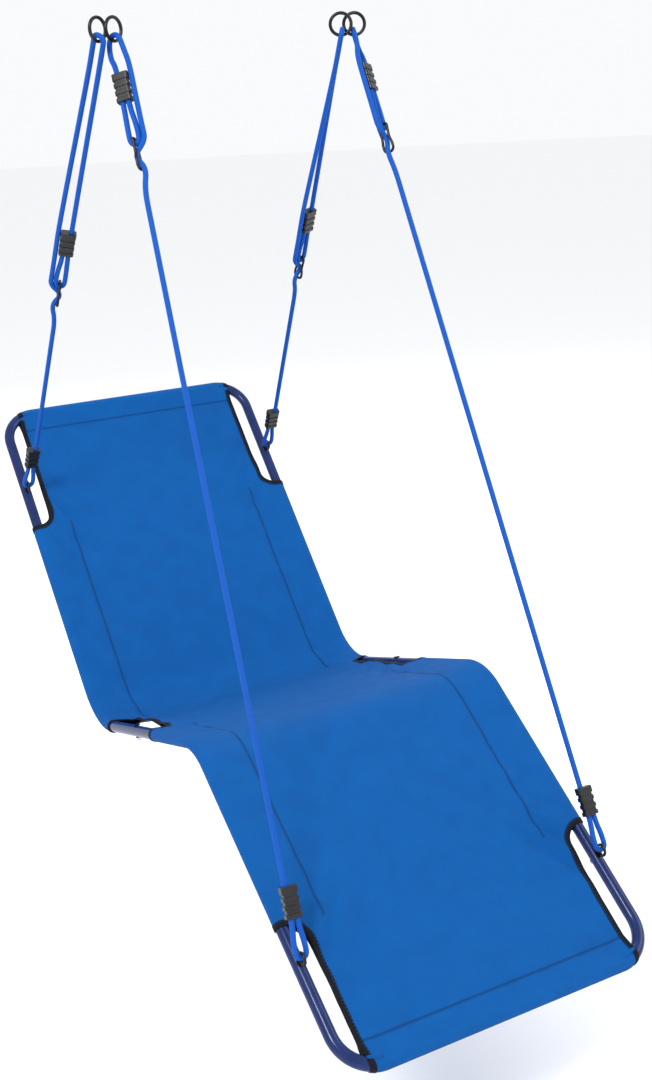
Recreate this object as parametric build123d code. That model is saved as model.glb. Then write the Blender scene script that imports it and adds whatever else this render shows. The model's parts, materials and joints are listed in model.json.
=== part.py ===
"""Sling lounger swing: a bent tube frame with a fabric sling, hung on four adjustable ropes.

Millimetres. X runs across the lounger, +Y towards the head end, +Z up. The origin is the middle of
the hang line: the straight line along X through the lowest wire of the four hang rings, about
which the lounger swings.
"""
from build123d import *
from math import atan2, cos, degrees, pi, radians, sin, tan
import os

# ---- frame: side profile (Y, Z) and tube ----
TUBE_R = 11.0            # 22 mm steel tube
TUBE_WALL = 1.5
RAIL_X = 294.0           # half the distance between the side rails' centre lines
SEAT_Y = 234.1           # corner where the back meets the seat, from the hang line
SEAT_Z = -1322.3
BACK_LENGTH = 750.0      # from that corner up to the head bar
SEAT_LENGTH = 558.0      # from that corner to the knee
LEG_LENGTH = 604.0       # from the knee down to the foot bar
BACK_ANGLE = 48.86       # above level, rising to the head
SEAT_ANGLE = 17.54       # above level, rising to the knee
LEG_ANGLE = 35.56        # below level, falling to the foot
SEAT_BEND_R = 120.0
KNEE_BEND_R = 95.0
CORNER_BEND_R = 65.0
HEAD_JOINT = 190.0       # head bar to the rear eyebolt, along the rail
FOOT_JOINT = 183.0       # foot bar to the front eyebolt, along the rail
MID_JOINT = 215.0        # seat corner to the socket mouth in the middle of the rail
SOCKET_OVERLAP = 18.0    # how far a socket reaches past its bolt
SWAGE_LENGTH = 60.0      # reduced tube end that slides into the socket
SWAGE_GAP = 0.15
BOLT_R = 3.0
BOLT_HOLE_R = 3.3

# ---- fabric ----
CLOTH_T = 3.0
SLEEVE_R = 13.0
SLEEVE_BORE_R = 11.3
BAND_T = 5.0             # binding tape folded over the edge
BAND_R = 14.0
BAND_WIDTH = 8.0
NOTCH_X = 256.0          # inner edge of the corner cut-outs
MID_NOTCH_X = 262.0
HEAD_NOTCH = 282.0       # head bar to the end of the corner cut-out
FOOT_NOTCH = 248.0
MID_NOTCH_START = 85.0   # seat corner to the two ends of the cut-out beside the seat
MID_NOTCH_END = 333.0
NOTCH_CORNER_R = 34.0

# ---- suspension ----
ROPE_R = 4.5
HANG_X = 232.0           # half the distance between the two hanging points
RING_STEP = 14.0         # each side's two rings stand this far either side of its hanging point
RING_MID_R = 19.0
RING_WIRE_R = 3.0
RING_TURN = 28.0         # degrees that a ring is turned about the vertical
RING_ROPE_RISE = 10.0    # rope centre above the centre of the ring's lowest wire
RING_LOOP_R = 10.0
EYE_MID_R = 9.5
EYE_WIRE_R = 2.5
COLLAR_T = 3.0
COLLAR_R = 6.5
NUT_R = 5.5
EYE_ROPE_RISE = 1.5      # rope centre above the middle of the eye
EYE_LOOP_R = 9.3
LINK_HALF = 26.5         # figure-eight link: middle to the centre of its end wire
LINK_WIRE_R = 2.5
LINK_LOBE_R = 9.6
LINK_WAIST = 7.2
HAIRPIN_R = 7.4          # rope bend round the link's end bar
BLOCK_WIDTH = 28.0
BLOCK_DEPTH = 16.0
BLOCK_LENGTH = 50.0
BLOCK_HOLE_R = 4.9
BLOCK_HOLE_STEP = 10.0   # between the through strand and the rope's end
LOWER_BLOCK = 88.0       # eye to the middle of the lower block
UPPER_BLOCK = 92.0       # link's end bar to the middle of the upper block
TAIL_DEPTH = 28.0        # rope end inside a block
POCKET_DEPTH = 42.0
REAR_LINK = 528.0        # ring to the middle of the link, along the rope
FRONT_LINK = 202.0

LEGS = {
    # name: side, ring offset, ring turn, direction of the long strand beside the block, tail side
    "rear_left": dict(side=-1, ring=-1, turn=RING_TURN, loop=118.0, lean=160.0, tail=-1),
    "rear_right": dict(side=1, ring=-1, turn=-RING_TURN, loop=242.0, lean=200.0, tail=-1),
    "front_left": dict(side=-1, ring=1, turn=RING_TURN, loop=-62.0, lean=-45.0, tail=1),
    "front_right": dict(side=1, ring=1, turn=-RING_TURN, loop=242.0, lean=215.0, tail=1),
}


def along(angle):
    """Unit step in the side profile at an angle above the +Y direction."""
    return Vector(0, cos(radians(angle)), sin(radians(angle)))


BACK_DIR = along(BACK_ANGLE)
SEAT_DIR = along(180 - SEAT_ANGLE)
LEG_DIR = along(180 + LEG_ANGLE)
SEAT_CORNER = Vector(0, SEAT_Y, SEAT_Z)
KNEE = SEAT_CORNER + SEAT_DIR * SEAT_LENGTH
HEAD = SEAT_CORNER + BACK_DIR * BACK_LENGTH
FOOT = KNEE + LEG_DIR * LEG_LENGTH
REAR_BOLT = HEAD - BACK_DIR * HEAD_JOINT
FRONT_BOLT = FOOT - LEG_DIR * FOOT_JOINT
MID_MOUTH = SEAT_CORNER + SEAT_DIR * MID_JOINT
MID_BOLT = MID_MOUTH + SEAT_DIR * SOCKET_OVERLAP
BACK_UP = along(BACK_ANGLE + 90)
SEAT_UP = along(90 - SEAT_ANGLE)
LEG_UP = along(90 + LEG_ANGLE)


def at_x(point, x):
    """The same point of the side profile, at x."""
    return Vector(x, point.Y, point.Z)


def swept(path, radius, bore=0.0):
    """A round bar, or a tube with a bore, along a path."""
    start = Plane(origin=path @ 0, z_dir=path % 0)
    solid = sweep(start * Circle(radius), path=path)
    if bore:
        solid -= sweep(start * Circle(bore), path=path)
    return solid


def rod(start, end, radius):
    """A straight round bar between two points."""
    axis = end - start
    return extrude(Plane(origin=start, z_dir=axis) * Circle(radius), amount=axis.length)


def ring_of_wire(plane, mid_r, wire_r):
    """A closed ring of round wire lying in a plane."""
    return plane * Torus(mid_r, wire_r)


def swaged(path, start_tip, end_tip):
    """A rail tube along a path, with reduced ends pushed out by the given steps."""
    tube = swept(path, TUBE_R, TUBE_R - TUBE_WALL)
    tip_r = TUBE_R - TUBE_WALL - SWAGE_GAP
    for mouth, step in ((path @ 0, start_tip), (path @ 1, end_tip)):
        if step is None:
            continue
        root = mouth - step * 0.05
        tip = rod(root, mouth + step, tip_r) - rod(root, mouth + step, tip_r - TUBE_WALL)
        plug = rod(root, mouth, TUBE_R) - rod(root, mouth, tip_r - TUBE_WALL)
        tube = tube + plug + tip
    return tube


def bolt_hole(centre, up, x):
    """The cross hole that a bolt goes through."""
    middle = at_x(centre, x)
    return rod(middle - up * 20, middle + up * 20, BOLT_HOLE_R)


def u_bar(bar_centre, bar_dir, joint_length):
    """A head or foot bar: a U of tube whose legs are the sockets of the rails."""
    leg_end = bar_centre - bar_dir * (joint_length + SOCKET_OVERLAP)
    path = FilletPolyline(
        at_x(leg_end, -RAIL_X),
        at_x(bar_centre, -RAIL_X),
        at_x(bar_centre, RAIL_X),
        at_x(leg_end, RAIL_X),
        radius=CORNER_BEND_R,
    )
    return path


def make_frame():
    """The six frame tubes."""
    nodes = {}
    for name, centre, step, length, bolt, up in (
        ("head_bar", HEAD, BACK_DIR, HEAD_JOINT, REAR_BOLT, BACK_UP),
        ("foot_bar", FOOT, LEG_DIR, FOOT_JOINT, FRONT_BOLT, LEG_UP),
    ):
        tube = swept(u_bar(centre, step, length), TUBE_R, TUBE_R - TUBE_WALL)
        for x in (-RAIL_X, RAIL_X):
            tube -= bolt_hole(bolt, up, x)
        nodes[name] = tube
    head_mouth = REAR_BOLT - BACK_DIR * SOCKET_OVERLAP
    foot_mouth = FRONT_BOLT - LEG_DIR * SOCKET_OVERLAP
    for side, x in (("left", -RAIL_X), ("right", RAIL_X)):
        back_path = FilletPolyline(
            at_x(head_mouth, x), at_x(SEAT_CORNER, x), at_x(MID_MOUTH, x), radius=SEAT_BEND_R
        )
        back = swaged(back_path, BACK_DIR * SWAGE_LENGTH, SEAT_DIR * SWAGE_LENGTH)
        back -= bolt_hole(REAR_BOLT, BACK_UP, x)
        back -= bolt_hole(MID_BOLT, SEAT_UP, x)
        leg_path = FilletPolyline(
            at_x(MID_MOUTH, x), at_x(KNEE, x), at_x(foot_mouth, x), radius=KNEE_BEND_R
        )
        leg = swaged(leg_path, None, LEG_DIR * SWAGE_LENGTH)
        leg -= bolt_hole(MID_BOLT, SEAT_UP, x)
        leg -= bolt_hole(FRONT_BOLT, LEG_UP, x)
        nodes["back_rail_" + side] = back
        nodes["leg_rail_" + side] = leg
    return nodes


def notch(corner, step, up, start, end, inner_x, side, grow):
    """A cut-out of the cloth's edge, from start to end along the rail; grow widens it."""
    reach = 60.0
    plane = Plane(origin=corner, x_dir=Vector(1, 0, 0), z_dir=up)
    to_plan = 1 if plane.y_dir.dot(step) > 0 else -1
    low, high = start - grow, end + grow
    inner, outer = inner_x - grow, RAIL_X + reach
    outline = Pos(side * (inner + outer) / 2, to_plan * (low + high) / 2) * RectangleRounded(
        outer - inner, high - low, NOTCH_CORNER_R + grow
    )
    square = Pos(side * (outer - reach / 2), to_plan * (low + high) / 2) * Rectangle(reach, high - low)
    return extrude(plane * (outline + square), amount=reach, both=True)


def make_sling(frame):
    """The fabric sling and the tape that binds its six cut-outs."""
    profile = FilletPolyline(HEAD, SEAT_CORNER, KNEE, FOOT, radius=[SEAT_BEND_R, KNEE_BEND_R])
    start = Plane(origin=profile @ 0, x_dir=Vector(1, 0, 0), z_dir=profile % 0)

    def cloth_body(thickness, sleeve_r):
        body = sweep(start * Rectangle(2 * RAIL_X, thickness), path=profile)
        for x in (-RAIL_X, RAIL_X):
            rail = FilletPolyline(
                at_x(HEAD, x), at_x(SEAT_CORNER, x), at_x(KNEE, x), at_x(FOOT, x),
                radius=[SEAT_BEND_R, KNEE_BEND_R],
            )
            body += swept(rail, sleeve_r)
        for bar in (HEAD, FOOT):
            body += rod(at_x(bar, -RAIL_X), at_x(bar, RAIL_X), sleeve_r)
        return body

    bores = [swept(u_bar(HEAD, BACK_DIR, HEAD_JOINT), SLEEVE_BORE_R)]
    bores.append(swept(u_bar(FOOT, LEG_DIR, FOOT_JOINT), SLEEVE_BORE_R))
    for x in (-RAIL_X, RAIL_X):
        rail = FilletPolyline(
            at_x(REAR_BOLT, x), at_x(SEAT_CORNER, x), at_x(KNEE, x), at_x(FRONT_BOLT, x),
            radius=[SEAT_BEND_R, KNEE_BEND_R],
        )
        bores.append(swept(rail, SLEEVE_BORE_R))
    cuts = {}
    for side_name, side in (("left", -1), ("right", 1)):
        for name, corner, step, up, low, high, inner in (
            ("head", HEAD, BACK_DIR * -1, BACK_UP, -60.0, HEAD_NOTCH, NOTCH_X),
            ("seat", SEAT_CORNER, SEAT_DIR, SEAT_UP, MID_NOTCH_START, MID_NOTCH_END, MID_NOTCH_X),
            ("foot", FOOT, LEG_DIR * -1, LEG_UP, -60.0, FOOT_NOTCH, NOTCH_X),
        ):
            args = (corner, step, up, low, high, inner, side)
            cuts[name + "_binding_" + side_name] = (notch(*args, 0.0), notch(*args, BAND_WIDTH))
    sling = cloth_body(CLOTH_T, SLEEVE_R)
    band_body = cloth_body(BAND_T, BAND_R)
    for bore in bores:
        sling -= bore
        band_body -= bore
    nodes = {}
    for name, (cut, wide_cut) in cuts.items():
        sling -= wide_cut
        nodes[name] = band_body & (wide_cut - cut)
    nodes["sling"] = sling
    return nodes


def side_frame(leg):
    """The eye's middle, and the bolt's direction, of one leg."""
    rear = leg["ring"] < 0
    bolt, up = (REAR_BOLT, BACK_UP) if rear else (FRONT_BOLT, LEG_UP)
    eye = at_x(bolt, leg["side"] * RAIL_X) + up * (TUBE_R + COLLAR_T + EYE_WIRE_R + EYE_MID_R)
    return eye, up


def square_to(vector, axis):
    """The part of vector that is square to axis, as a unit vector."""
    return (vector - axis * vector.dot(axis)).normalized()


def flat_dir(angle):
    """A level unit vector at an angle from +X towards +Y."""
    return Vector(cos(radians(angle)), sin(radians(angle)), 0)


def leg_axes(leg):
    """The main points and directions that one rope leg is built from."""
    eye, up = side_frame(leg)
    ring = Vector(leg["side"] * HANG_X + leg["ring"] * RING_STEP, 0, 0)
    line = (ring - eye).normalized()
    across = square_to(Vector(1, 0, 0), line)
    strand_shift = across * (-leg["tail"] * BLOCK_HOLE_STEP / 2)
    link_drop = REAR_LINK if leg["ring"] < 0 else FRONT_LINK
    link_mid = ring - line * link_drop
    low_start = eye + line * (LOWER_BLOCK - BLOCK_LENGTH / 2 - 11) + strand_shift
    strand = (link_mid - low_start).normalized()
    lean = square_to(flat_dir(leg["lean"]), strand)
    return dict(
        eye=eye, up=up, ring=ring, line=line, across=square_to(across, strand), strand=strand,
        low_start=low_start, link=link_mid, lean=lean, bar=lean.cross(strand).normalized(),
        loop=square_to(flat_dir(leg["loop"]), line), tail=leg["tail"],
    )


def rope_points(ax):
    """The rope's route, from its end in the lower block to its end in the upper block."""
    line, across, strand, lean, loop = ax["line"], ax["across"], ax["strand"], ax["lean"], ax["loop"]
    tail = across * ax["tail"]
    low = ax["low_start"]
    half_block = BLOCK_LENGTH / 2
    tail_top = low + tail * BLOCK_HOLE_STEP + strand * (11 + TAIL_DEPTH)
    seat = ax["eye"] + line * EYE_ROPE_RISE
    points = [
        tail_top,
        low + tail * BLOCK_HOLE_STEP,
        seat + tail * EYE_LOOP_R + line * 24,
        seat + tail * EYE_LOOP_R,
        seat - tail * EYE_LOOP_R,
        seat - tail * EYE_LOOP_R + line * 24,
        low,
    ]
    bar = ax["link"] + strand * LINK_HALF
    block_top = UPPER_BLOCK + half_block
    beside = ax["link"]
    points += [
        beside - strand * (LINK_HALF + 36),
        beside + lean * 10.6 - strand * (LINK_HALF + 1),
        beside - lean * 7.0 - strand * 1.5,
        bar + lean * 18.2 - strand * 7,
        bar + lean * 17.3 + strand * 16,
        bar + lean * 17.0 + strand * (block_top + 13),
    ]
    ring = ax["ring"]
    crest = ring + line * RING_ROPE_RISE
    through = HAIRPIN_R
    points += [
        crest + loop * RING_LOOP_R - line * 20,
        crest + loop * RING_LOOP_R,
        crest - loop * RING_LOOP_R,
        crest - loop * RING_LOOP_R - line * 20,
        bar - lean * through + strand * (block_top + 13),
        bar - lean * through - strand * HAIRPIN_R,
        bar + lean * through - strand * HAIRPIN_R,
        bar + lean * through + strand * 24,
        bar - lean * (through - BLOCK_HOLE_STEP) + strand * (UPPER_BLOCK - half_block - 9),
        bar - lean * (through - BLOCK_HOLE_STEP) + strand * (UPPER_BLOCK - half_block + TAIL_DEPTH),
    ]
    return points


def bend_radii(points):
    """One radius for each corner: as large as its two runs allow."""
    radii = []
    for before, corner, after in zip(points, points[1:], points[2:]):
        run_in, run_out = corner - before, after - corner
        turn = radians(run_in.get_angle(run_out))
        radii.append(0.45 * min(run_in.length, run_out.length) / tan(turn / 2))
    return radii


def block(middle, along_dir, wide_dir, through_side):
    """A ribbed adjuster block; its through strand is on through_side, its rope end on the other."""
    plane = Plane(origin=middle, x_dir=wide_dir, z_dir=along_dir)
    half = BLOCK_LENGTH / 2
    body = Pos(0, 0, -half) * extrude(RectangleRounded(BLOCK_WIDTH - 4, BLOCK_DEPTH - 3, 3), BLOCK_LENGTH)
    for low, high, grow in ((-25, -18, 0), (-12, -5, 0), (1, 8, 0), (13, 25, 1)):
        rib = extrude(RectangleRounded(BLOCK_WIDTH + grow, BLOCK_DEPTH, 4), high - low)
        rib = fillet(rib.edges().filter_by(Plane.XY), 0.9)
        body += Pos(0, 0, low) * rib
    shift = BLOCK_HOLE_STEP / 2 * through_side
    body -= Pos(shift, 0, 0) * Cylinder(BLOCK_HOLE_R, BLOCK_LENGTH + 2)
    pocket = Cylinder(BLOCK_HOLE_R, POCKET_DEPTH, align=(Align.CENTER, Align.CENTER, Align.MIN))
    body -= Pos(-shift, 0, -half - 1) * pocket
    return plane * body


def link_loop(ax):
    """A waisted figure-eight link of round wire."""
    plane = Plane(origin=ax["link"], x_dir=ax["bar"], z_dir=ax["lean"])
    tip = LINK_HALF if plane.y_dir.dot(ax["strand"]) > 0 else -LINK_HALF
    lobe, waist = LINK_LOBE_R, LINK_WAIST
    outline = FilletPolyline(
        (lobe, tip), (-lobe, tip), (-waist, tip * 0.05), (-lobe, -tip * 0.45), (-lobe, -tip),
        (lobe, -tip), (lobe, -tip * 0.45), (waist, tip * 0.05),
        radius=[5.0, 5.0, 24.0, 14.0, 8.2, 8.2, 14.0, 24.0], close=True,
    )
    path = plane * outline
    start = Plane(origin=path @ 0, z_dir=path % 0)
    return sweep(start * Circle(LINK_WIRE_R), path=path)


def eyebolt(ax, bolt):
    """Eye, collar and shank in one forging."""
    up = ax["up"]
    seat = bolt + up * TUBE_R
    eye = ring_of_wire(Plane(origin=ax["eye"], z_dir=Vector(1, 0, 0)), EYE_MID_R, EYE_WIRE_R)
    neck = rod(seat + up * (COLLAR_T - 0.5), seat + up * (COLLAR_T + EYE_WIRE_R), BOLT_R)
    return eye + neck + rod(seat, seat + up * COLLAR_T, COLLAR_R) + rod(bolt - up * 17, seat + up, BOLT_R)


def dome_nut(bolt, up):
    """A domed nut on a bolt's lower end."""
    seat = bolt - up * (TUBE_R + 1.2)
    plane = Plane(origin=seat, z_dir=up * -1)
    nut = extrude(RegularPolygon(NUT_R, 6), 4.5)
    dome = Pos(0, 0, 4.5) * (Sphere(4.6) & Pos(0, 0, 5) * Box(12, 12, 10))
    hole = Cylinder(BOLT_R + 0.02, 5.2, align=(Align.CENTER, Align.CENTER, Align.MIN))
    return plane * (nut + dome - hole)


def washer(bolt, up):
    """The washer between a tube and its dome nut."""
    seat = bolt - up * TUBE_R
    return rod(seat, seat - up * 1.2, COLLAR_R) - rod(seat + up, seat - up * 3, BOLT_R + 0.3)


def make_suspension():
    """Rings, ropes, links, adjuster blocks and the bolts that join the ropes to the frame."""
    nodes = {}
    nuts, washers = [], []
    for name, leg in LEGS.items():
        ax = leg_axes(leg)
        turn = Vector(cos(radians(leg["turn"])), sin(radians(leg["turn"])), 0)
        ring_plane = Plane(
            origin=ax["ring"] + Vector(0, 0, RING_MID_R), x_dir=turn, z_dir=turn.cross(Vector(0, 0, 1))
        )
        nodes["hang_ring_" + name] = ring_of_wire(ring_plane, RING_MID_R, RING_WIRE_R)
        points = rope_points(ax)
        radii = bend_radii(points)
        path = FilletPolyline(*points, radius=radii)
        nodes["rope_" + name] = swept(path, ROPE_R)
        section = pi * ROPE_R**2 * path.length
        share = nodes["rope_" + name].volume / section
        print(name, "rope", round(path.length), "mm, tightest bend", round(min(radii), 1), "fill", round(share, 4))
        print("   radii", [round(r) for r in radii])
        nodes["link_" + name] = link_loop(ax)
        low_mid = ax["low_start"] + ax["across"] * ax["tail"] * BLOCK_HOLE_STEP / 2
        low_mid = low_mid + ax["strand"] * (11 + BLOCK_LENGTH / 2)
        nodes["lower_block_" + name] = block(low_mid, ax["strand"], ax["across"], -ax["tail"])
        bar = ax["link"] + ax["strand"] * LINK_HALF
        high_mid = bar + ax["strand"] * UPPER_BLOCK - ax["lean"] * (HAIRPIN_R - BLOCK_HOLE_STEP / 2)
        nodes["upper_block_" + name] = block(high_mid, ax["strand"], ax["lean"], -1)
        bolt = at_x(REAR_BOLT if leg["ring"] < 0 else FRONT_BOLT, leg["side"] * RAIL_X)
        nodes["eyebolt_" + name] = eyebolt(ax, bolt)
        nuts.append(dome_nut(bolt, ax["up"]))
        washers.append(washer(bolt, ax["up"]))
    mid_bolts = []
    for x in (-RAIL_X, RAIL_X):
        bolt = at_x(MID_BOLT, x)
        head = rod(bolt + SEAT_UP * TUBE_R, bolt + SEAT_UP * (TUBE_R + 2.5), COLLAR_R)
        mid_bolts.append(head + rod(bolt - SEAT_UP * 17, bolt + SEAT_UP * (TUBE_R + 1), BOLT_R))
        nuts.append(dome_nut(bolt, SEAT_UP))
        washers.append(washer(bolt, SEAT_UP))
    nodes["mid_bolts"] = Compound(children=mid_bolts)
    nodes["dome_nuts"] = Compound(children=nuts)
    nodes["nut_washers"] = Compound(children=washers)
    return nodes


def main():
    os.makedirs("parts", exist_ok=True)
    nodes = make_frame()
    nodes.update(make_sling(nodes))
    nodes.update(make_suspension())
    for name, shape in nodes.items():
        export_step(shape, os.path.join("parts", name + ".step"))
    for name, leg in LEGS.items():
        ax = leg_axes(leg)
        print(name, "slide axis", tuple(round(c, 6) for c in tuple(ax["strand"])))


main()
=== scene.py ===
# %% [markdown]
# # A sling lounger that hangs on four adjustable ropes
# The lounger is a bent steel tube frame with a cloth sling sewn round its rails. Four braided ropes run
# from eyebolts on the rails, through ribbed adjuster blocks and small steel links, up to steel rings.
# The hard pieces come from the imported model, already in place, and get their finishes here. The soft
# pieces, cloth, tape, thread and rope, are modelled here round that frame.

# %% Load the fixed frame
import json
from math import asin, cos, pi, radians, sin, sqrt, tan

import bmesh
import bpy
import numpy as np
from mathutils import Matrix, Vector

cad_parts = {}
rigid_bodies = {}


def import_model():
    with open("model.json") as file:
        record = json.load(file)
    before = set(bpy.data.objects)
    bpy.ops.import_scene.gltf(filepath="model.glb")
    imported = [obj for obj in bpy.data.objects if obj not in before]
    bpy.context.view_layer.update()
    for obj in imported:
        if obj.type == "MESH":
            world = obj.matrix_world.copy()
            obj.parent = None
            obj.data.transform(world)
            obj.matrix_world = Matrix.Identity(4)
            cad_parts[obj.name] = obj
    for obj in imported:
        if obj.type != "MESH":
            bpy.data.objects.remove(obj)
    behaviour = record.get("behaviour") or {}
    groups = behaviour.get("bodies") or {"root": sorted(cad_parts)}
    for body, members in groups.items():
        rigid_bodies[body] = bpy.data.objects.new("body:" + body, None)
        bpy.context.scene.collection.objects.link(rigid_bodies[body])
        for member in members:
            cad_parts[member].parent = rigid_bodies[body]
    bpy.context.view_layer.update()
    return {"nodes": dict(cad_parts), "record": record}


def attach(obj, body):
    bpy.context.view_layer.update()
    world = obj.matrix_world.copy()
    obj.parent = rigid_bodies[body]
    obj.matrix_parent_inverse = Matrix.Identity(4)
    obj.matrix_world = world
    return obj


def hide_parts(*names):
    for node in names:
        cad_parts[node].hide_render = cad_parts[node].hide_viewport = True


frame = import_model()
NODES = frame["nodes"]

# %% [markdown]
# ## Camera
# The camera stands to the left of the foot end, a little below the rings, and looks up the lounger's
# length. Angles would do to turn it, but three directions, right, up and back, written as the columns
# of a matrix, say plainly which way is which.

# %% Camera
right = Vector((0.8761, -0.4795, -0.0508)).normalized()
look = Vector((0.4450, 0.8446, -0.2976)).normalized()
up = right.cross(look).normalized()
camera = bpy.data.objects.new("camera", bpy.data.cameras.new("camera"))
bpy.context.collection.objects.link(camera)
turn = Matrix((right, up, -look)).transposed().to_4x4()
CAMERA_SPOT = (-1.0874, -2.3139, -0.1298)
camera.matrix_world = Matrix.Translation(CAMERA_SPOT) @ turn
camera.data.sensor_width = 36.0
camera.data.lens = 45.81
camera.data.clip_start = 0.05
camera.data.clip_end = 60.0
bpy.context.scene.camera = camera
print("camera lens", round(camera.data.lens, 1), "mm")

# %% [markdown]
# ## The rope's route
# Each of the four legs is one rope. Its end is tucked into the lower block, it hangs round the
# eyebolt's eye, runs up through the lower block, slips past and through the link, goes on up beside
# the upper block, over the ring, down through the upper block, round the link's end bar and back into
# the block. The route is given as a few corner points. A NURBS curve of order 3 rounds them smoothly.

# %% Frame sizes in metres
RAIL_X = 0.294
SEAT_CORNER = Vector((0, 0.2341, -1.3223))
BACK_LENGTH, SEAT_LENGTH, LEG_LENGTH = 0.750, 0.558, 0.604
BACK_ANGLE, SEAT_ANGLE, LEG_ANGLE = 48.86, 17.54, 35.56
SEAT_BEND_R, KNEE_BEND_R, CORNER_BEND_R = 0.120, 0.095, 0.065
HEAD_JOINT, FOOT_JOINT = 0.190, 0.183


def along(angle):
    """A unit step in the side profile, at an angle above the head-end direction."""
    return Vector((0, cos(radians(angle)), sin(radians(angle))))


def at_x(point, x):
    """The same point of the side profile, at x."""
    return Vector((x, point.y, point.z))


BACK_DIR = along(BACK_ANGLE)
SEAT_DIR = along(180 - SEAT_ANGLE)
LEG_DIR = along(180 + LEG_ANGLE)
BACK_UP, LEG_UP = along(BACK_ANGLE + 90), along(90 + LEG_ANGLE)
KNEE = SEAT_CORNER + SEAT_DIR * SEAT_LENGTH
HEAD = SEAT_CORNER + BACK_DIR * BACK_LENGTH
FOOT = KNEE + LEG_DIR * LEG_LENGTH
print("head bar", HEAD, "foot bar", FOOT)

# %% The four legs
ROPE_R = 0.0045
EYE_RISE = 0.026
HANG_X, RING_STEP = 0.232, 0.014
LINK_HALF = 0.0265
LOWER_BLOCK, UPPER_BLOCK, BLOCK_HALF = 0.088, 0.092, 0.025
HOLE_STEP, TAIL_DEPTH, HAIRPIN_R = 0.010, 0.028, 0.0074
LEAD_IN = 0.011
SHORT_LEG = 0.3
EYE_LOOP, EYE_LOOP_RISE = 0.0093, 0.024
CREST_RISE, CREST_HALF, CREST_BULGE = 0.010, 0.010, 0.016
RING_FALL, BULGE_FALL, LONG_FALL = 0.020, 0.034, 0.074
LEGS = {
    "rear_left": dict(side=-1, ring=-1, loop=118.0, lean=160.0, tail=-1, link=0.528),
    "rear_right": dict(side=1, ring=-1, loop=242.0, lean=200.0, tail=-1, link=0.528),
    "front_left": dict(side=-1, ring=1, loop=-62.0, lean=-45.0, tail=1, link=0.202),
    "front_right": dict(side=1, ring=1, loop=242.0, lean=215.0, tail=1, link=0.202),
}


def square_to(vector, axis):
    """The part of vector that is square to axis, as a unit vector."""
    return (vector - axis * vector.dot(axis)).normalized()


def flat_dir(angle):
    """A level direction, at an angle from the X axis."""
    return Vector((cos(radians(angle)), sin(radians(angle)), 0))


def leg_axes(leg):
    """The main points and directions of one rope leg."""
    rear = leg["ring"] < 0
    if rear:
        bolt, bolt_up = HEAD - BACK_DIR * HEAD_JOINT, BACK_UP
    else:
        bolt, bolt_up = FOOT - LEG_DIR * FOOT_JOINT, LEG_UP
    eye = at_x(bolt, leg["side"] * RAIL_X) + bolt_up * EYE_RISE
    ring = Vector((leg["side"] * HANG_X + leg["ring"] * RING_STEP, 0, 0))
    line = (ring - eye).normalized()
    side = square_to(Vector((1, 0, 0)), line)
    link = ring - line * leg["link"]
    low = eye + line * (LOWER_BLOCK - BLOCK_HALF - LEAD_IN) - side * leg["tail"] * HOLE_STEP / 2
    strand = (link - low).normalized()
    return dict(
        eye=eye, ring=ring, line=line, link=link, low=low, strand=strand, tail=leg["tail"],
        across=square_to(side, strand), lean=square_to(flat_dir(leg["lean"]), strand),
        loop=square_to(flat_dir(leg["loop"]), line),
    )


def leg_is_short(ax):
    """True where the link hangs close under the ring, as on the front legs."""
    return (ax["ring"] - ax["link"]).length < SHORT_LEG


def rope_points(ax):
    """The corners of one rope's route, from its end in the lower block to its end in the upper one."""
    line, strand, lean, loop = ax["line"], ax["strand"], ax["lean"], ax["loop"]
    tail = ax["across"] * ax["tail"]
    seat = ax["eye"] + line * 0.0015
    lower = [
        ax["low"] + tail * HOLE_STEP + strand * (LEAD_IN + TAIL_DEPTH),
        ax["low"] + tail * HOLE_STEP,
        seat + tail * EYE_LOOP + line * EYE_LOOP_RISE,
        seat + tail * EYE_LOOP,
        seat - tail * EYE_LOOP,
        seat - tail * EYE_LOOP + line * EYE_LOOP_RISE,
        ax["low"],
        ax["low"] + strand * 0.055,
    ]
    middle = [
        ax["link"] - strand * (LINK_HALF + 0.090),
        ax["link"] - strand * (LINK_HALF + 0.036),
        ax["link"] + lean * 0.0106 - strand * (LINK_HALF + 0.001),
        ax["link"] - lean * 0.0070 - strand * 0.0015,
    ]
    bar = ax["link"] + strand * LINK_HALF
    block_top = UPPER_BLOCK + BLOCK_HALF
    crest = ax["ring"] + line * CREST_RISE
    half = loop * CREST_HALF
    bulge = loop * CREST_BULGE
    upper = [
        bar + lean * 0.0182 - strand * 0.007,
        bar + lean * 0.0175 + strand * 0.016,
        bar + lean * 0.0170 + strand * 0.070,
        bar + lean * 0.0170 + strand * (block_top + 0.013),
    ]
    fall = line * RING_FALL
    over_ring = [crest + half - fall, crest + half, crest - half, crest - half - fall]
    if leg_is_short(ax):
        over_ring[0] = crest + bulge - line * BULGE_FALL
        over_ring[3] = crest - bulge - line * BULGE_FALL
    else:
        over_ring.insert(0, crest + half - line * LONG_FALL)
        over_ring.append(crest - half - line * LONG_FALL)
    hairpin = HAIRPIN_R + 0.0010
    down = [
        bar - lean * HAIRPIN_R + strand * (block_top + 0.013),
        bar - lean * HAIRPIN_R + strand * 0.060,
        bar - lean * hairpin + strand * 0.022,
        bar - lean * hairpin - strand * 0.0086,
        bar + lean * hairpin - strand * 0.0086,
        bar + lean * hairpin + strand * 0.022,
        bar - lean * (HAIRPIN_R - HOLE_STEP) + strand * (UPPER_BLOCK - BLOCK_HALF - 0.009),
        bar - lean * (HAIRPIN_R - HOLE_STEP) + strand * (UPPER_BLOCK - BLOCK_HALF + TAIL_DEPTH),
    ]
    return lower + middle + upper + over_ring + down


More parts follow.
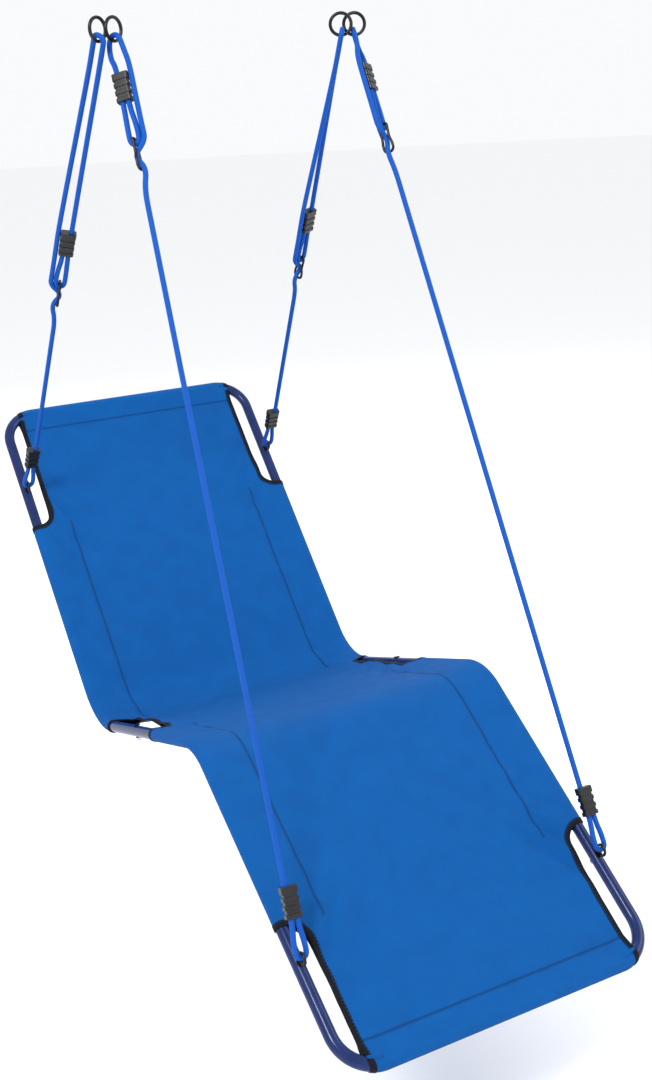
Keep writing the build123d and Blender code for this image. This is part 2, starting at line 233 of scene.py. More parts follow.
# %% [markdown]
# ## The ropes
# A braided rope is two families of yarns wound opposite ways, each passing over two and under two of
# the other. A curve with a round bevel would be quicker to make, but it would be as smooth as a wire.
# Here a bmesh grid, as long as the route and as wide as the rope's girth, is rolled round the smooth
# line, and its skin is lifted where a yarn lies on top, so the braid is in the shape itself.

# %% Smooth line of a route
def nurbs_line(name, corners):
    """The points along a NURBS curve of order 3 that has these corners as its control points."""
    curve = bpy.data.curves.new(name, "CURVE")
    curve.dimensions = "3D"
    spline = curve.splines.new("NURBS")
    spline.points.add(len(corners) - 1)
    for point, corner in zip(spline.points, corners):
        point.co = (*corner, 1.0)
    spline.order_u = 3
    spline.use_endpoint_u = True
    spline.resolution_u = 24
    holder = bpy.data.objects.new(name, curve)
    bpy.context.collection.objects.link(holder)
    bpy.context.view_layer.update()
    mesh = bpy.data.meshes.new_from_object(holder)
    line = np.array([tuple(v.co) for v in mesh.vertices])
    bpy.data.objects.remove(holder)
    bpy.data.meshes.remove(mesh)
    return line


def even_line(line, step):
    """The same line with points an even step apart, and its length."""
    lengths = np.r_[0, np.cumsum(np.linalg.norm(np.diff(line, axis=0), axis=1))]
    stations = np.linspace(0, lengths[-1], int(lengths[-1] / step) + 1)
    return np.stack([np.interp(stations, lengths, line[:, i]) for i in range(3)], 1), stations


def carried_frames(line):
    """Two directions square to the line at each point, carried along it without twisting."""
    heading = np.gradient(line, axis=0)
    heading /= np.linalg.norm(heading, axis=1)[:, None]
    first = np.cross(heading[0], (0.3, 0.5, 0.8))
    first /= np.linalg.norm(first)
    sides = [first]
    for direction in heading[1:]:
        side = sides[-1] - direction * np.dot(sides[-1], direction)
        sides.append(side / np.linalg.norm(side))
    sides = np.array(sides)
    return sides, np.cross(heading, sides)


# %% Braided rope
ROPE_ROUND = 32
YARNS = 8
BRAID_PITCH = 0.036
BRAID_LIFT = 0.00045
ROPE_STEP = 0.00095


def braid_height(around, distance):
    """How far the braid stands out, 0 to 1, at a share of the girth and a distance along."""
    first = YARNS * (around + distance / BRAID_PITCH)
    second = YARNS * (around - distance / BRAID_PITCH)
    first_on_top = (np.floor(first) + np.floor(second)) % 4 < 2
    across = np.where(first_on_top, first, second) % 1.0
    return np.sqrt(np.clip(1 - (2 * across - 1) ** 2, 0, 1))


def finish_mesh(name, bm, smooth=True):
    """Turns a bmesh into an object of the scene."""
    mesh = bpy.data.meshes.new(name)
    bm.to_mesh(mesh)
    bm.free()
    obj = bpy.data.objects.new(name, mesh)
    bpy.context.collection.objects.link(obj)
    if smooth:
        mesh.shade_smooth()
    return obj


def braided_rope(name, corners):
    """A braided rope along a route, with the smooth line that it follows."""
    line, stations = even_line(nurbs_line(name + "_route", corners), ROPE_STEP)
    side, other = carried_frames(line)
    rows = len(line)
    bm = bmesh.new()
    bmesh.ops.create_grid(bm, x_segments=ROPE_ROUND, y_segments=rows - 1, size=0.5, calc_uvs=True)
    bm.verts.ensure_lookup_table()
    grid = np.array([tuple(v.co) for v in bm.verts])
    around = grid[:, 0] + 0.5
    row = np.rint((grid[:, 1] + 0.5) * (rows - 1)).astype(int)
    height = braid_height(around, stations[row])
    radius = ROPE_R - BRAID_LIFT * 0.6 + BRAID_LIFT * height
    angle = 2 * pi * around
    sideways = side[row] * (radius * np.cos(angle))[:, None]
    spot = line[row] + sideways + other[row] * (radius * np.sin(angle))[:, None]
    uv = bm.loops.layers.uv.verify()
    for face in bm.faces:
        for loop in face.loops:
            i = loop.vert.index
            loop[uv].uv = (around[i], stations[row[i]] / BRAID_PITCH)
    for vert, place in zip(bm.verts, spot):
        vert.co = place
    bmesh.ops.remove_doubles(bm, verts=bm.verts, dist=1e-6)
    ends = [e for e in bm.edges if e.is_boundary]
    bmesh.ops.holes_fill(bm, edges=ends, sides=0)
    bmesh.ops.recalc_face_normals(bm, faces=bm.faces)
    obj = finish_mesh(name, bm)
    print(name, "length", round(float(stations[-1]), 3), "m,", len(obj.data.polygons), "faces")
    return obj, line


ropes = {}
for leg_name, leg in LEGS.items():
    corners = rope_points(leg_axes(leg))
    rope, line = braided_rope("braided_rope_" + leg_name, corners)
    ropes[leg_name] = rope
    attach(rope, "lounger")
    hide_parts("rope_" + leg_name)
    tuple(corners[0])

# %% [markdown]
# ## Shape of the sling
# The sling is one long sheet. Along its sides it goes over the rails, round them and back under, and is
# sewn to itself a hand's breadth in, which makes a sleeve. It does the same round the head bar and the
# foot bar. Where bolts and rope ends need the bare tube, the sheet is cut away in six rounded notches.
# A point of the sheet is named by two distances, s along the rails from the head bar and w across from
# the middle line, measured on the cloth, and a function says where that point is in space.

# %% The rails' line, from the head bar to the foot bar
def rail_pieces():
    """Straight runs and bends of the rails' side profile, as (kind, length, data)."""
    pieces = []
    heading = -BACK_DIR
    place = HEAD.copy()
    bends = ((SEAT_CORNER, SEAT_DIR, SEAT_BEND_R), (KNEE, LEG_DIR, KNEE_BEND_R))
    for corner, next_dir, radius in bends:
        bend = heading.angle(next_dir)
        cut = radius * tan(bend / 2)
        run = (corner - place).length - cut
        pieces.append(("run", run, place.copy(), heading.copy(), 0.0))
        start = place + heading * run
        normal = Vector((0, heading.z, -heading.y))
        sign = 1.0 if normal.dot(next_dir) > 0 else -1.0
        pieces.append(("bend", radius * bend, start, heading.copy(), sign * radius))
        place = corner + next_dir * cut
        heading = next_dir
    pieces.append(("run", (FOOT - place).length, place.copy(), heading.copy(), 0.0))
    return pieces


RAIL_PIECES = rail_pieces()
RAIL_LENGTH = sum(piece[1] for piece in RAIL_PIECES)
print("length from head bar to foot bar", round(RAIL_LENGTH, 3), "m")


def rail_at(s):
    """Point, heading and upward normal of the rails' line at a distance from the head bar."""
    rest = s
    for kind, length, start, heading, radius in RAIL_PIECES:
        if rest <= length or start is RAIL_PIECES[-1][2]:
            break
        rest -= length
    normal = Vector((0, heading.z, -heading.y))
    if kind == "run":
        return start + heading * rest, heading, normal
    angle = rest / radius
    centre = start + normal * radius
    new_heading = heading * cos(angle) + normal * sin(angle)
    new_normal = normal * cos(angle) - heading * sin(angle)
    return centre - new_normal * radius, new_heading, new_normal


# %% The sheet's sleeves and notches
SKIN_R = 0.0120
SEAM_X = 0.219
EDGE_X = 0.259
NOTCH_R = 0.034
HEM = 0.008
SLOPE = asin(SKIN_R / (RAIL_X - SEAM_X))
SIDE_RUN = sqrt((RAIL_X - SEAM_X) ** 2 - SKIN_R**2)
W_TOP = SEAM_X + SIDE_RUN
W_MID = W_TOP + SKIN_R * (pi / 2 + SLOPE)
W_EDGE = SEAM_X + (EDGE_X - SEAM_X) / cos(SLOPE)
SEAT_START = RAIL_PIECES[0][1] + RAIL_PIECES[1][1]
SEAT_CUT = BACK_LENGTH - RAIL_PIECES[0][1]
PAST_BAR = 0.060
NOTCHES = {
    "head": (-PAST_BAR, 0.282),
    "seat": (SEAT_START + 0.085 - SEAT_CUT, SEAT_START + 0.333 - SEAT_CUT),
    "foot": (RAIL_LENGTH - 0.248, RAIL_LENGTH + PAST_BAR),
}
BAR_SEAM = 0.038
BAR_SLOPE = asin(SKIN_R / BAR_SEAM)
BAR_TOP = SKIN_R * sin(BAR_SLOPE)


def smooth_step(x, low, high):
    """0 below low, 1 above high, smooth between."""
    t = min(1.0, max(0.0, (x - low) / (high - low)))
    return t * t * (3 - 2 * t)


HEAD_OPENS, FOOT_CLOSES = (0.175, 0.262), (-0.230, -0.150)
SEAT_FADE = (0.020, 0.085)


def sleeve_share(s):
    """1 where the sleeve goes round the rail, 0 beside a notch."""
    past_head = smooth_step(s, *HEAD_OPENS)
    past_foot = smooth_step(s, RAIL_LENGTH + FOOT_CLOSES[0], RAIL_LENGTH + FOOT_CLOSES[1])
    low, high = NOTCHES["seat"]
    into_seat = smooth_step(s, low + SEAT_FADE[0], low + SEAT_FADE[1])
    out_of_seat = smooth_step(s, high - SEAT_FADE[1], high - SEAT_FADE[0])
    return past_head * (1 - past_foot) * (1 - into_seat * (1 - out_of_seat))


def bar_shift(x):
    """How far the head bar's bend has come down the sheet at x."""
    past = max(0.0, abs(x) - (RAIL_X - CORNER_BEND_R))
    return CORNER_BEND_R - sqrt(CORNER_BEND_R**2 - past**2)


def bar_rise(x, s):
    """Height of the sheet over the middle of the bars, close to the head bar and the foot bar."""
    from_bar = min(s, RAIL_LENGTH - s) - bar_shift(x)
    return max(0.0, (BAR_SEAM - from_bar) * tan(BAR_SLOPE)) if from_bar < BAR_SEAM else 0.0


# %% Hollows and folds
SEAT_PEAK, PEAK_REACH = 0.013, 0.034
SAG, BROAD_WAVE, SMALL_WAVE, FINE_WAVE = 0.0050, 0.0028, 0.0007, 0.0005
GATHER, PULL, PULL_REACH = 0.0011, 0.0034, 0.105


def seat_peak(x, s):
    """How far the cloth stands up along a seat notch, where the frame's bend pushes it off the rail."""
    low, high = NOTCHES["seat"]
    if not low < s < high:
        return 0.0
    along_notch = sin(pi * (s - low) / (high - low)) ** 2
    near_edge = np.exp(-(((abs(x) - EDGE_X) / PEAK_REACH) ** 2))
    return SEAT_PEAK * along_notch * near_edge * smooth_step(0.288 - abs(x), 0.0, 0.012)


def slack(x, s):
    """The small hollows and waves that keep real cloth from being flat."""
    inside = max(0.0, 1 - (x / SEAM_X) ** 2)
    ends = smooth_step(s, 0.03, 0.16) * smooth_step(RAIL_LENGTH - s, 0.03, 0.16)
    off_rail = smooth_step(0.281 - abs(x), 0.0, 0.05)
    sag = -SAG * inside * ends * (0.75 + 0.25 * cos(2 * pi * s / 0.61))
    broad = BROAD_WAVE * sin(s * 14 + x * 11) * cos(x * 9 - s * 4) * inside
    waves = SMALL_WAVE * sin(s * 31 + x * 28) * cos(x * 23 - s * 5) + FINE_WAVE * sin(s * 57 - x * 41)
    past_seam = smooth_step(abs(x), SEAM_X - 0.03, SEAM_X + 0.03)
    gathers = GATHER * sin(s * 96 + 2.4 * sin(s * 17 + x)) * past_seam
    pull = 0.0
    for low, high in NOTCHES.values():
        for edge, away in ((low, -1), (high, 1)):
            past_edge = abs(x) - EDGE_X
            near = np.exp(-(((s - edge) / PULL_REACH) ** 2) - (past_edge / PULL_REACH) ** 2)
            pull += near * sin((past_edge * 1.1 + away * (s - edge) * 0.8) * 118)
    return sag + seat_peak(x, s) + ends * (broad + (waves + gathers + PULL * pull) * off_rail)


# %% A point of the sheet
UNDERLAP = 0.0012
SLACK_REACH = 0.02


def across_at(w, share):
    """(x, height) of the sheet's cross-section at w, for the right-hand side."""
    lower = w > W_MID
    v = 2 * W_MID - w if lower else w
    if v <= SEAM_X:
        x, height = v, 0.0
    elif v <= W_TOP:
        x = SEAM_X + (v - SEAM_X) * cos(SLOPE)
        height = (v - SEAM_X) * sin(SLOPE) * share
    else:
        angle = pi / 2 + SLOPE - (v - W_TOP) / SKIN_R
        x = RAIL_X + SKIN_R * cos(angle)
        height = SKIN_R * sin(angle)
    if lower:
        height = -height - UNDERLAP * (1 - share * smooth_step(x, SEAM_X, EDGE_X))
    return x, height


def skin_point(w, s, side, lift=0.0):
    """The place of the sheet's point (w, s) on one side, lifted off the cloth by lift."""
    share = sleeve_share(s)
    x, height = across_at(w, share)
    if w <= W_EDGE:
        height += bar_rise(x, s)
    if w < W_EDGE + SLACK_REACH or w > 2 * W_MID - W_EDGE - SLACK_REACH:
        height += slack(x, s)
    facing = -1.0 if w > W_MID else 1.0
    tip = 0.0
    if W_TOP < w < 2 * W_MID - W_TOP:
        angle = pi / 2 + SLOPE - (w - W_TOP) / SKIN_R
        facing, tip = sin(angle), cos(angle)
    origin, heading, normal = rail_at(s)
    return at_x(origin + normal * (height + lift * facing), side * (x + lift * tip))


def notch_edge(w, end_s, sign):
    """Where along s a sleeve starts at w, beside the end of a notch."""
    v = min(w, 2 * W_MID - w)
    inward = max(0.0, W_EDGE + NOTCH_R - v)
    return end_s + sign * (sqrt(max(0.0, NOTCH_R**2 - inward**2)) - NOTCH_R)


# %% [markdown]
# ## Making the sheet
# The sheet could be draped by a cloth simulation, but this one is stretched tight on its frame, so a
# formula for its hollows and folds is quicker and gives the same sheet each run. Each patch starts as
# a flat bmesh grid whose points are then laid on the shape above: one patch is the flat middle, two a
# side wrap the rails, and one each wraps the head bar and the foot bar. The patches share their edge
# points, so merging doubles sews them into one sheet, and a Solidify modifier gives it its thickness.

# %% Grid patches
def lay_grid(bm, columns, rows, place, uv_of):
    """A grid of cloth laid by place(column, row), with the cloth's own distances as its UV map."""
    last_column, last_row = len(columns) - 1, len(rows) - 1
    made = bmesh.ops.create_grid(
        bm, x_segments=last_column, y_segments=last_row, size=0.5, calc_uvs=True
    )
    uv = bm.loops.layers.uv.verify()
    spots = {}
    for vert in made["verts"]:
        i = round((vert.co.x + 0.5) * last_column)
        j = round((vert.co.y + 0.5) * last_row)
        spots[vert] = (columns[i], rows[j])
    faces = {face for vert in made["verts"] for face in vert.link_faces}
    for face in faces:
        for loop in face.loops:
            loop[uv].uv = uv_of(*spots[loop.vert])
    for vert, spot in spots.items():
        vert.co = place(*spot)


def spaced(*stops_and_steps):
    """Values from stop to stop with about the given step: stop, step, stop, step, ... stop."""
    values = [stops_and_steps[0]]
    for i in range(1, len(stops_and_steps), 2):
        step, stop = stops_and_steps[i], stops_and_steps[i + 1]
        count = max(1, round(abs(stop - values[-1]) / step))
        start = values[-1]
        values += [start + (stop - start) * k / count for k in range(1, count + 1)]
    return values


# %% Rows and columns
HEAD_END = NOTCHES["head"][1]
SEAT_LOW, SEAT_HIGH = NOTCHES["seat"]
FOOT_LOW = NOTCHES["foot"][0]
ROW_STEP = 0.0075
WRAP_STEP = 0.0035
BAR_BLEND = 0.06
ROWS = spaced(
    BAR_TOP, ROW_STEP, HEAD_END - NOTCH_R, ROW_STEP, SEAT_LOW + NOTCH_R, ROW_STEP,
    SEAT_HIGH - NOTCH_R, ROW_STEP, FOOT_LOW + NOTCH_R, ROW_STEP, RAIL_LENGTH - BAR_TOP,
)
HALF_COLUMNS = spaced(0.0, 0.010, SEAM_X, 0.005, W_EDGE)
COLUMNS = [-w for w in reversed(HALF_COLUMNS[1:])] + HALF_COLUMNS
print(len(COLUMNS), "columns and", len(ROWS), "rows in the flat middle")


def near_bar_s(x, s):
    """Shifts rows close to a bar so that they follow its bent ends."""
    shift = bar_shift(x)
    if s < BAR_BLEND:
        return s + shift * (1 - (s - BAR_TOP) / (BAR_BLEND - BAR_TOP))
    if RAIL_LENGTH - s < BAR_BLEND:
        return s - shift * (1 - (RAIL_LENGTH - s - BAR_TOP) / (BAR_BLEND - BAR_TOP))
    return s


def middle_place(w, s):
    """The place of a point of the flat middle patch, on either side."""
    side = -1 if w < 0 else 1
    return skin_point(abs(w), near_bar_s(min(abs(w), EDGE_X), s), side)


# %% Cloth round the bars
UNDER_GAP = 0.0013
RUN_IN = 0.0035
BAR_HEM = 0.004
wrap_length = SKIN_R * (pi + 2 * BAR_SLOPE) + BAR_SEAM / cos(BAR_SLOPE) + BAR_HEM


def bar_wrap_place(at_foot):
    """Place function for the cloth that goes round a bar and back under."""
    def place(w, q, lift=0.0):
        side = -1 if w < 0 else 1
        x = abs(w) if abs(w) <= SEAM_X else SEAM_X + (abs(w) - SEAM_X) * cos(SLOPE)
        arc = SKIN_R * (pi + 2 * BAR_SLOPE)
        if q <= arc:
            angle = pi / 2 - BAR_SLOPE + q / SKIN_R
            out, height = (SKIN_R + lift) * cos(angle), (SKIN_R + lift) * sin(angle)
        else:
            back = q - arc
            out = BAR_TOP + back * cos(BAR_SLOPE)
            run = min(back, BAR_SEAM / cos(BAR_SLOPE) - RUN_IN)
            height = -SKIN_R * cos(BAR_SLOPE) + run * sin(BAR_SLOPE)
            height = min(height, -UNDER_GAP) - lift
        s = out + bar_shift(x)
        s = RAIL_LENGTH - s if at_foot else s
        if s < 0 or s > RAIL_LENGTH:
            end = 0.0 if s < 0 else RAIL_LENGTH
            origin, heading, normal = rail_at(end)
            origin = origin + heading * (s - end)
        else:
            origin, heading, normal = rail_at(s)
        return at_x(origin + normal * height, side * x)
    return place


# %% The whole sheet
SHARED = 1e-5
RETURN_END = 0.052
CLOTH_THICK = 0.0009
bm = bmesh.new()
lay_grid(bm, COLUMNS, ROWS, middle_place, lambda w, s: (w, s))
for side in (-1, 1):
    for first_end, last_end in ((HEAD_END, SEAT_LOW), (SEAT_HIGH, FOOT_LOW)):
        low, high = first_end - NOTCH_R, last_end + NOTCH_R
        rows = [s for s in ROWS if low - SHARED < s < high + SHARED]

        def sleeve_s(w, s):
            """Squeezes a row at s to lie between the rounded ends of the two notches."""
            start = notch_edge(w, first_end, 1)
            stop = notch_edge(w, last_end, -1)
            share = (s - low) / (high - low)
            return start + (stop - start) * share

        wraps = spaced(
            W_EDGE, WRAP_STEP, W_TOP, WRAP_STEP, 2 * W_MID - W_TOP, WRAP_STEP, 2 * W_MID - W_EDGE,
        )
        lay_grid(
            bm, wraps, rows,
            lambda w, s: skin_point(w, sleeve_s(w, s), side),
            lambda w, s: (side * w, sleeve_s(w, s)),
        )
    returns = spaced(2 * W_MID - W_EDGE, 0.006, 2 * W_MID - SEAM_X + HEM)
    rows = [s for s in ROWS if RETURN_END < s < RAIL_LENGTH - RETURN_END]
    lay_grid(bm, returns, rows, lambda w, s: skin_point(w, s, side), lambda w, s: (side * w, s))
for at_foot in (False, True):
    place = bar_wrap_place(at_foot)
    lay_grid(bm, COLUMNS, spaced(0.0, WRAP_STEP, wrap_length), place, lambda w, q: (w, -q))
bmesh.ops.remove_doubles(bm, verts=bm.verts, dist=SHARED)
bmesh.ops.recalc_face_normals(bm, faces=bm.faces)
back_spot, _, back_normal = rail_at(0.4)
middle = min(bm.faces, key=lambda f: (f.calc_center_median() - back_spot).length)
if middle.normal.dot(back_normal) < 0:
    bmesh.ops.reverse_faces(bm, faces=bm.faces)
cloth_area = sum(face.calc_area() for face in bm.faces)
sling = finish_mesh("sling_cloth", bm)
thick = sling.modifiers.new("cloth thickness", "SOLIDIFY")
thick.thickness, thick.offset = CLOTH_THICK, 0.0
print("sling cloth", round(cloth_area, 3), "m2,", len(sling.data.polygons), "faces")
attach(sling, "lounger")
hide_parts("sling")

# %% [markdown]
# ## Binding tape
# Each notch's raw edge is bound with black tape folded over it. A swept curve would twist at the round
# corners, so the tape is a grid too: one way it follows the notch's outline, measured on the cloth, the
# other way it folds from the outer face over the edge to the inner face.

# %% Outline of a notch
TAPE_WIDTH = 0.009
TAPE_LIFT = 0.0011
OUTER_FOLD = (
    (TAPE_WIDTH, TAPE_LIFT), (TAPE_WIDTH * 0.5, TAPE_LIFT), (0.0, TAPE_LIFT),
    (-TAPE_LIFT, TAPE_LIFT * 0.5),
)
TAPE_FOLD = OUTER_FOLD + tuple((inward, -lift) for inward, lift in reversed(OUTER_FOLD))


def half_outline(end_s, sign, straight_s):
    """One end of a notch: down its straight edge, round its corner and out over the rail."""
    straight = [(W_EDGE, s) for s in spaced(straight_s, 0.008, end_s - sign * NOTCH_R)]
    corner = [
        (W_EDGE + NOTCH_R * (1 - cos(a)), end_s - sign * NOTCH_R * (1 - sin(a)))
        for a in (pi / 2 * k / 10 for k in range(1, 11))
    ]
    wrap = [(w, end_s) for w in spaced(W_EDGE + NOTCH_R, 0.003, W_MID)[1:]]
    return straight + corner + wrap


def mirrored_under(path):
    """The same outline on the cloth's underside, in reverse."""
    return [(2 * W_MID - w, s) for w, s in reversed(path[:-1])]


def with_inward(path, middle_s, closed):
    """Adds to each outline point the step that leads away from the notch, onto the cloth."""
    stations = []
    for i, (w, s) in enumerate(path):
        before = path[i - 1] if i or closed else path[i]
        after = path[(i + 1) % len(path)] if i + 1 < len(path) or closed else path[i]
        step = Vector((after[0] - before[0], after[1] - before[1])).normalized()
        inward = Vector((-step.y, step.x))
        if inward.dot(Vector((w - W_MID, s - middle_s))) < 0:
            inward = -inward
        stations.append((w, s, inward.x, inward.y))
    return stations


head_half = half_outline(HEAD_END, 1, 0.010)
foot_half = half_outline(FOOT_LOW, -1, RAIL_LENGTH - 0.010)
seat_mid = (SEAT_LOW + SEAT_HIGH) / 2
seat_start = half_outline(SEAT_LOW, -1, seat_mid)
seat_top = list(reversed(seat_start)) + half_outline(SEAT_HIGH, 1, seat_mid)[1:]
BAR_NOTCH_MID = 0.12
OUTLINES = {
    name: (with_inward(path, middle_s, closed), closed)
    for name, path, middle_s, closed in (
        ("head", head_half + mirrored_under(head_half), BAR_NOTCH_MID, False),
        ("seat", seat_top[:-1] + mirrored_under(seat_top), seat_mid, True),
        ("foot", foot_half + mirrored_under(foot_half), RAIL_LENGTH - BAR_NOTCH_MID, False),
    )
}
print({name: len(path) for name, (path, closed) in OUTLINES.items()}, "stations round the notches")


# %% Folded tape
def fold_tape(bm, stations, closed, place):
    """A folded strip of tape along stations, laid by place(a, b, lift)."""
    count = len(stations)
    rows = range(count + 1) if closed else range(count)

    def spot(k, i):
        a, b, inward_a, inward_b = stations[int(i) % count]
        inward, lift = TAPE_FOLD[int(k)]
        return place(a + inward_a * inward, b + inward_b * inward, lift)

    lay_grid(bm, range(len(TAPE_FOLD)), rows, spot, lambda k, i: (0.003 * k, 0.004 * i))


def stitch_row(bm, spots, length=0.0036, gap=0.0024, radius=0.00042):
    """Short stitches along a line of points."""
    line, stations = even_line(np.array([tuple(p) for p in spots]), length + gap)
    row = bmesh.new()
    for start, stop in zip(line, line[1:]):
        run = Vector(stop - start)
        if run.length < length * 0.5:
            continue
        turned = run.to_track_quat("Z", "Y").to_matrix().to_4x4()
        shape = Matrix.Diagonal((radius, radius, length / 2, 1))
        middle = Matrix.Translation((Vector(start) + Vector(stop)) / 2)
        bmesh.ops.create_icosphere(row, subdivisions=1, radius=1.0, matrix=middle @ turned @ shape)
    made = bpy.data.meshes.new("stitch_row")
    row.to_mesh(made)
    row.free()
    bm.from_mesh(made)
    bpy.data.meshes.remove(made)


# %% Tape and its stitches
TAPE_THICK = 0.0004
STITCH_INSET = 0.0018
thread = bmesh.new()
for name, (stations, closed) in OUTLINES.items():
    for side_name, side in (("left", -1), ("right", 1)):
        bm = bmesh.new()

        def on_skin(w, s, lift=TAPE_LIFT + 0.0003):
            """The place of a point by a notch, just above the tape unless another lift is given."""
            return skin_point(w, near_bar_s(EDGE_X, s), side, lift)

        fold_tape(bm, stations, closed, on_skin)
        if name != "seat":
            bar_run = spaced(0.0, 0.003, wrap_length - BAR_HEM)
            bar_stations = [(side * W_EDGE, q, -side, 0.0) for q in bar_run]
            fold_tape(bm, bar_stations, False, bar_wrap_place(name == "foot"))
        bmesh.ops.remove_doubles(bm, verts=bm.verts, dist=SHARED)
        bmesh.ops.recalc_face_normals(bm, faces=bm.faces)
        tape = finish_mesh(f"{name}_notch_tape_{side_name}", bm)
        body = tape.modifiers.new("tape thickness", "SOLIDIFY")
        body.thickness, body.offset = TAPE_THICK, 0.0
        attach(tape, "lounger")
        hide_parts(f"{name}_binding_{side_name}")
        inner = TAPE_WIDTH - STITCH_INSET
        stitch_row(thread, [on_skin(w + a * inner, s + b * inner) for w, s, a, b in stations])
print("six notches bound")

# %% [markdown]
# ## Thread
# Two rows of stitches run down each side where the sleeve is sewn shut, from notch to notch, and two
# run across at each bar. They could be dashes in the cloth's colour, but real stitches stand up and
# catch the light. A stitch is a tiny stretched ball of a few faces, because there are hundreds of them.

# %% Rows of stitches
THREAD_LIFT = 0.0007
BAR_SEAM_GAP = 0.005
THREAD_STEP, THREAD_END = 0.006, 0.012
for side in (-1, 1):
    for w in (SEAM_X - 0.0035, SEAM_X + 0.0025):
        for low, high in ((HEAD_END, SEAT_LOW), (SEAT_HIGH, FOOT_LOW)):
            run = spaced(low, THREAD_STEP, high)
            stitch_row(thread, [skin_point(w, s, side, THREAD_LIFT) for s in run])
            stitch_row(thread, [skin_point(2 * W_MID - w, s, side, THREAD_LIFT) for s in run])
for s in (BAR_SEAM, BAR_SEAM + BAR_SEAM_GAP):
    for place_s in (s, RAIL_LENGTH - s):
        run = spaced(-EDGE_X + THREAD_END, THREAD_STEP, EDGE_X - THREAD_END)
        spots = [skin_point(abs(w), place_s, -1 if w < 0 else 1, THREAD_LIFT) for w in run]
        stitch_row(thread, spots)
stitches = finish_mesh("sling_stitches", thread)
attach(stitches, "lounger")
print(len(stitches.data.polygons), "faces of thread")

# %% [markdown]
# ## Finishes
# Every finish is a node material, so that tone and gloss vary a little over a piece as they do on a
# real one. An image texture would need a picture file, and these patterns are simple enough for nodes.
# Cloth, tape and rope read their own UV maps, which hold distances on the cloth or along the rope, so
# that the weave follows the sheet. Their colours also carry painted shade, lighter on the tops of
# threads and yarns and darker between them, and on the sling darker along the seams. Paint, plastic and
# steel read Object coordinates.

# %% Node helpers
def new_material(name, color, roughness, metallic=0.0):
    """A material with its shader's even values set on the shader itself."""
    material = bpy.data.materials.new(name)
    material.use_nodes = True
    shader = material.node_tree.nodes["Principled BSDF"]
    shader.inputs["Base Color"].default_value = (*color, 1)
    shader.inputs["Roughness"].default_value = roughness
    shader.inputs["Metallic"].default_value = metallic
    return material, material.node_tree, shader


def add(tree, kind, links=(), **settings):
    """A node with its settings made and its inputs linked or filled."""
    node = tree.nodes.new(kind)
    for key, value in settings.items():
        setattr(node, key, value)
    for key, value in dict(links).items():
        if isinstance(value, bpy.types.NodeSocket):
            tree.links.new(value, node.inputs[key])
        else:
            node.inputs[key].default_value = value
    return node


def math(tree, operation, a, b=0.0):
    """The output of a Math node."""
    return add(tree, "ShaderNodeMath", {0: a, 1: b}, operation=operation).outputs[0]


def noise(tree, vector, scale, detail=3.0, stretch=(1, 1, 1)):
    """The value of a noise texture, stretched along the axes."""
    mapped = add(tree, "ShaderNodeMapping", {"Vector": vector, "Scale": stretch}).outputs[0]
    settings = {"Vector": mapped, "Scale": scale, "Detail": detail}
    return add(tree, "ShaderNodeTexNoise", settings).outputs["Fac"]


def ramp(tree, value, low, high, at=(0.0, 1.0)):
    """A colour from a value between two ends."""
    node = add(tree, "ShaderNodeValToRGB", {"Fac": value})
    for element, spot, color in zip(node.color_ramp.elements, at, (low, high)):
        element.position = spot
        element.color = (*color, 1)
    return node.outputs["Color"]


def spread(tree, value, low, high):
    """A value spread between two limits."""
    return add(tree, "ShaderNodeMapRange", {"Value": value, "To Min": low, "To Max": high}).outputs[0]


def bump(tree, height, shader, distance, strength=1.0):
    """Bumps the surface by a height."""
    settings = {"Height": height, "Distance": distance, "Strength": strength}
    node = add(tree, "ShaderNodeBump", settings)
    tree.links.new(node.outputs[0], shader.inputs["Normal"])


def paint_on(obj, material):
    """Gives an object one material."""
    obj.data.materials.clear()
    obj.data.materials.append(material)


# %% Woven cloth
CLOTH_THREAD, TAPE_THREAD = 0.0009, 0.0012


def off_line(tree, value, line):
    """How far a value is from a line's value, either way."""
    return math(tree, "ABSOLUTE", math(tree, "SUBTRACT", value, line))


def painted_seam_shade(tree, w, s):
    """Painted shade along the sling's seams, where the cloth creases: darkest on the seam lines and 1
    away from them.
    """
    from_side = off_line(tree, math(tree, "ABSOLUTE", w), SEAM_X)
    in_seat = math(tree, "SUBTRACT", s, SEAT_LOW)
    beside_notches = (
        math(tree, "SUBTRACT", HEAD_END, s),
        math(tree, "MINIMUM", in_seat, math(tree, "SUBTRACT", SEAT_HIGH, s)),
        math(tree, "SUBTRACT", s, FOOT_LOW),
    )
    for beside in beside_notches:
        from_side = math(tree, "MAXIMUM", from_side, beside)
    from_head = off_line(tree, s, BAR_SEAM + 0.002)
    from_foot = off_line(tree, s, RAIL_LENGTH - BAR_SEAM - 0.002)
    nearest = math(tree, "MINIMUM", from_side, math(tree, "MINIMUM", from_head, from_foot))
    reach = {"Value": nearest, "From Min": 0.0008, "From Max": 0.0042, "To Min": 0.62}
    return add(tree, "ShaderNodeMapRange", reach).outputs[0]


def ridge_of(tree, threads):
    """The rounded height of a thread, from a count of threads."""
    return math(tree, "ABSOLUTE", math(tree, "SINE", math(tree, "MULTIPLY", threads, pi)))


